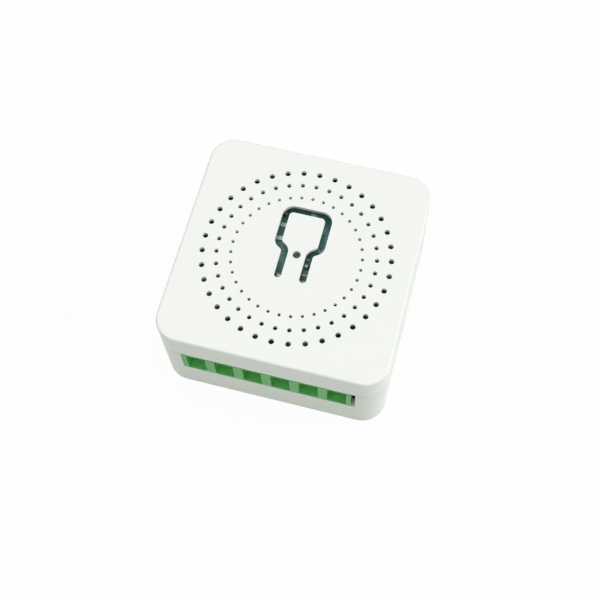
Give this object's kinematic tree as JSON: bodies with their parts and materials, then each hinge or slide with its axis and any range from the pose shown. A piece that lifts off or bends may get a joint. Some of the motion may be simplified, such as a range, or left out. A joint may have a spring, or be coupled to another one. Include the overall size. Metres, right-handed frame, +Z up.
{
  "type": "smart relay module",
  "caption": "Small square white in-wall relay module with a green screw terminal block, ringed vents and a flexible button tongue in its cover.",
  "frame": {"origin": "centre of the flat underside of the base", "axes": "+Z up through the cover, -Y towards the terminal side, +X to the right seen from the terminal side"},
  "size_m": [0.041, 0.041, 0.0195],
  "materials": {
    "cover_white": "satin moulded",
    "base_white": "satin moulded",
    "terminal_green": "moulded",
    "board_green": "solder mask",
    "zinc_steel": "zinc plated",
    "nickel_brass": "nickel plated",
    "tinned_copper": "tinned",
    "solder": "bright solder",
    "black_plastic": "moulded",
    "relay_plastic": "moulded",
    "spool_plastic": "moulded",
    "copper_wire": "enamelled copper",
    "soft_iron": "plated",
    "contact_brass": "rolled",
    "can_sleeve": "sleeved",
    "ferrite": "sintered",
    "disc_blue": "dipped",
    "resistor_green": "lacquered",
    "led_lens": "clear",
    "radio_green": "solder mask",
    "shield_steel": "pressed",
    "chip_ceramic": "fired",
    "switch_steel": "pressed"
  },
  "bodies": {
    "root": {"base_case": "base_white", "top_cover": "cover_white", "main_board": "board_green", "switch_body": "switch_steel", "switch_leads": "tinned_copper", "indicator_led": "led_lens", "chip_resistors": "black_plastic", "chip_capacitors": "chip_ceramic", "terminal_housing": "terminal_green", "relay_cover": "relay_plastic", "relay_base": "relay_plastic", "relay_yoke": "soft_iron", "relay_bobbin": "spool_plastic", "relay_winding": "copper_wire", "relay_core": "soft_iron", "fixed_contact": "contact_brass", "relay_pins": "tinned_copper", "mains_capacitor": "can_sleeve", "output_capacitor": "can_sleeve", "choke_core": "ferrite", "choke_winding": "copper_wire", "varistor": "disc_blue", "fusible_resistor": "resistor_green", "component_leads": "tinned_copper", "bridge_rectifier": "black_plastic", "converter_chip": "black_plastic", "radio_board": "radio_green", "radio_shield": "shield_steel", "radio_pins": "tinned_copper", "solder_joints": "solder", "contact_strip_1": "tinned_copper", "contact_strip_2": "tinned_copper", "contact_strip_3": "tinned_copper", "contact_strip_4": "tinned_copper", "contact_strip_5": "tinned_copper", "contact_strip_6": "tinned_copper"},
    "button_tongue": {"button_tongue": "cover_white"},
    "switch_plunger": {"switch_plunger": "black_plastic"},
    "relay_armature": {"relay_armature": "soft_iron", "moving_contact": "contact_brass"},
    "terminal_screw_1": {"terminal_screw_1": "zinc_steel"},
    "clamp_cage_1": {"clamp_cage_1": "nickel_brass"},
    "terminal_screw_2": {"terminal_screw_2": "zinc_steel"},
    "clamp_cage_2": {"clamp_cage_2": "nickel_brass"},
    "terminal_screw_3": {"terminal_screw_3": "zinc_steel"},
    "clamp_cage_3": {"clamp_cage_3": "nickel_brass"},
    "terminal_screw_4": {"terminal_screw_4": "zinc_steel"},
    "clamp_cage_4": {"clamp_cage_4": "nickel_brass"},
    "terminal_screw_5": {"terminal_screw_5": "zinc_steel"},
    "clamp_cage_5": {"clamp_cage_5": "nickel_brass"},
    "terminal_screw_6": {"terminal_screw_6": "zinc_steel"},
    "clamp_cage_6": {"clamp_cage_6": "nickel_brass"}
  },
  "joints": [
    {"name": "button_press", "type": "hinge", "parent": "root", "child": "button_tongue", "pos_m": [0, -0.0042, 0.0188], "axis": [-1, 0, 0], "range_deg": [0, 1.45], "stiffness_Nm_per_rad": 0.05},
    {"name": "plunger_travel", "type": "slide", "parent": "root", "child": "switch_plunger", "axis": [0, 0, -1], "range_m": [0, 0.00025]},
    {"name": "armature_pull", "type": "hinge", "parent": "root", "child": "relay_armature", "pos_m": [0.00193, -0.00317, 0.0042], "axis": [0, 1, 0], "range_deg": [0, 3], "stiffness_Nm_per_rad": 0.02},
    {"name": "screw_turn_1", "type": "hinge", "parent": "root", "child": "terminal_screw_1", "pos_m": [-0.01303, -0.0143, 0.00305], "axis": [0, 0, 1], "range_deg": [0, 1681]},
    {"name": "cage_slide_1", "type": "slide", "parent": "root", "child": "clamp_cage_1", "axis": [0, 0, -1], "range_m": [0, 0.0021]},
    {"name": "screw_turn_2", "type": "hinge", "parent": "root", "child": "terminal_screw_2", "pos_m": [-0.00795, -0.0143, 0.00305], "axis": [0, 0, 1], "range_deg": [0, 1681]},
    {"name": "cage_slide_2", "type": "slide", "parent": "root", "child": "clamp_cage_2", "axis": [0, 0, -1], "range_m": [0, 0.0021]},
    {"name": "screw_turn_3", "type": "hinge", "parent": "root", "child": "terminal_screw_3", "pos_m": [-0.00287, -0.0143, 0.00305], "axis": [0, 0, 1], "range_deg": [0, 1681]},
    {"name": "cage_slide_3", "type": "slide", "parent": "root", "child": "clamp_cage_3", "axis": [0, 0, -1], "range_m": [0, 0.0021]},
    {"name": "screw_turn_4", "type": "hinge", "parent": "root", "child": "terminal_screw_4", "pos_m": [0.00221, -0.0143, 0.00305], "axis": [0, 0, 1], "range_deg": [0, 1681]},
    {"name": "cage_slide_4", "type": "slide", "parent": "root", "child": "clamp_cage_4", "axis": [0, 0, -1], "range_m": [0, 0.0021]},
    {"name": "screw_turn_5", "type": "hinge", "parent": "root", "child": "terminal_screw_5", "pos_m": [0.00729, -0.0143, 0.00305], "axis": [0, 0, 1], "range_deg": [0, 1681]},
    {"name": "cage_slide_5", "type": "slide", "parent": "root", "child": "clamp_cage_5", "axis": [0, 0, -1], "range_m": [0, 0.0021]},
    {"name": "screw_turn_6", "type": "hinge", "parent": "root", "child": "terminal_screw_6", "pos_m": [0.01237, -0.0143, 0.00305], "axis": [0, 0, 1], "range_deg": [0, 1681]},
    {"name": "cage_slide_6", "type": "slide", "parent": "root", "child": "clamp_cage_6", "axis": [0, 0, -1], "range_m": [0, 0.0021]}
  ],
  "couplings": [
    {"joint": "plunger_travel", "follows": "button_press", "m_per_rad": 0.00985},
    {"joint": "screw_turn_1", "follows": "cage_slide_1", "rad_per_m": 13963},
    {"joint": "screw_turn_2", "follows": "cage_slide_2", "rad_per_m": 13963},
    {"joint": "screw_turn_3", "follows": "cage_slide_3", "rad_per_m": 13963},
    {"joint": "screw_turn_4", "follows": "cage_slide_4", "rad_per_m": 13963},
    {"joint": "screw_turn_5", "follows": "cage_slide_5", "rad_per_m": 13963},
    {"joint": "screw_turn_6", "follows": "cage_slide_6", "rad_per_m": 13963}
  ]
}
